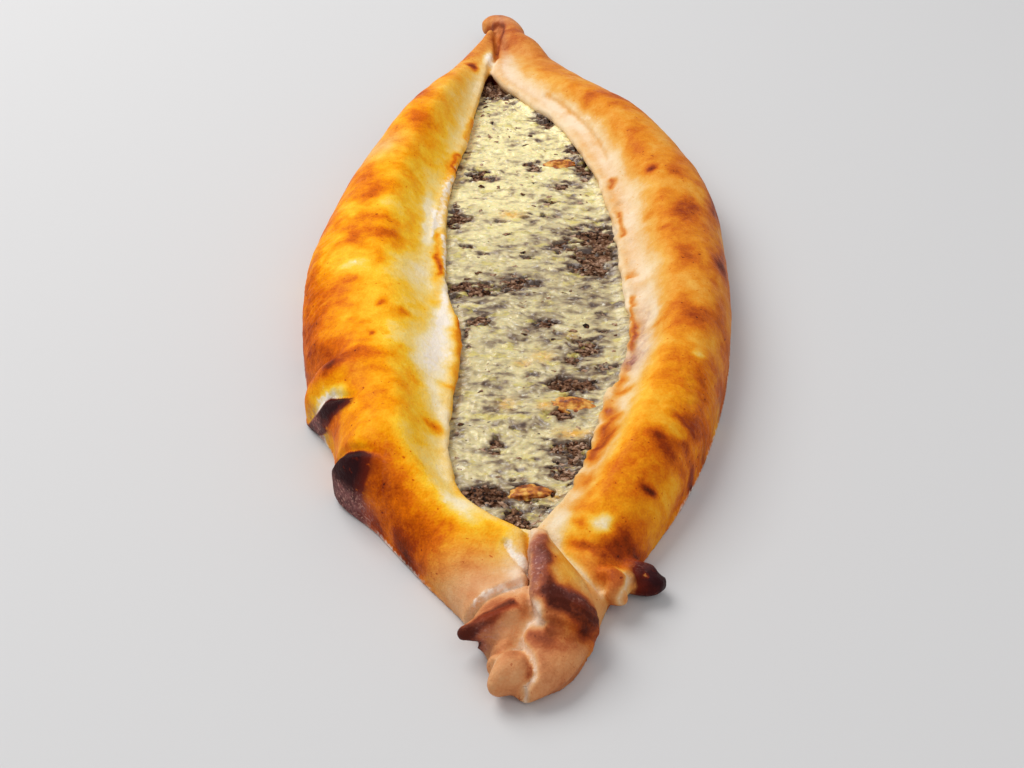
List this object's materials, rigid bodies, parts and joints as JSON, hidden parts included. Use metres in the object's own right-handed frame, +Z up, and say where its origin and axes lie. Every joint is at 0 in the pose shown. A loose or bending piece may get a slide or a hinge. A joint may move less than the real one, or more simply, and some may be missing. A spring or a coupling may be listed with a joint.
{
  "type": "turkish pide",
  "caption": "Long boat-shaped baked flatbread with folded-over rims and pinched ends, filled with minced meat under melted cheese.",
  "frame": {"origin": "on the surface it rests on, under the centre of the bounding box", "axes": "+Y runs along the boat to its narrow hooked end, away from the viewer, +X to the viewer's right, +Z up"},
  "size_m": [0.15, 0.398, 0.0277],
  "materials": {
    "baked_dough": "golden to brown baked crust with a soft egg-wash gloss, pale folds and burnt pleats",
    "minced_meat": "moist grey-brown crumbs of cooked mince",
    "melted_cheese": "pale yellow melted shredded cheese, a little oily",
    "tomato": "soft cooked tomato, moist"
  },
  "bodies": {
    "root": {"crust": "baked_dough", "minced_meat": "minced_meat", "melted_cheese": "melted_cheese", "tomato_piece_1": "tomato", "tomato_piece_2": "tomato", "tomato_piece_3": "tomato"}
  },
  "joints": []
}
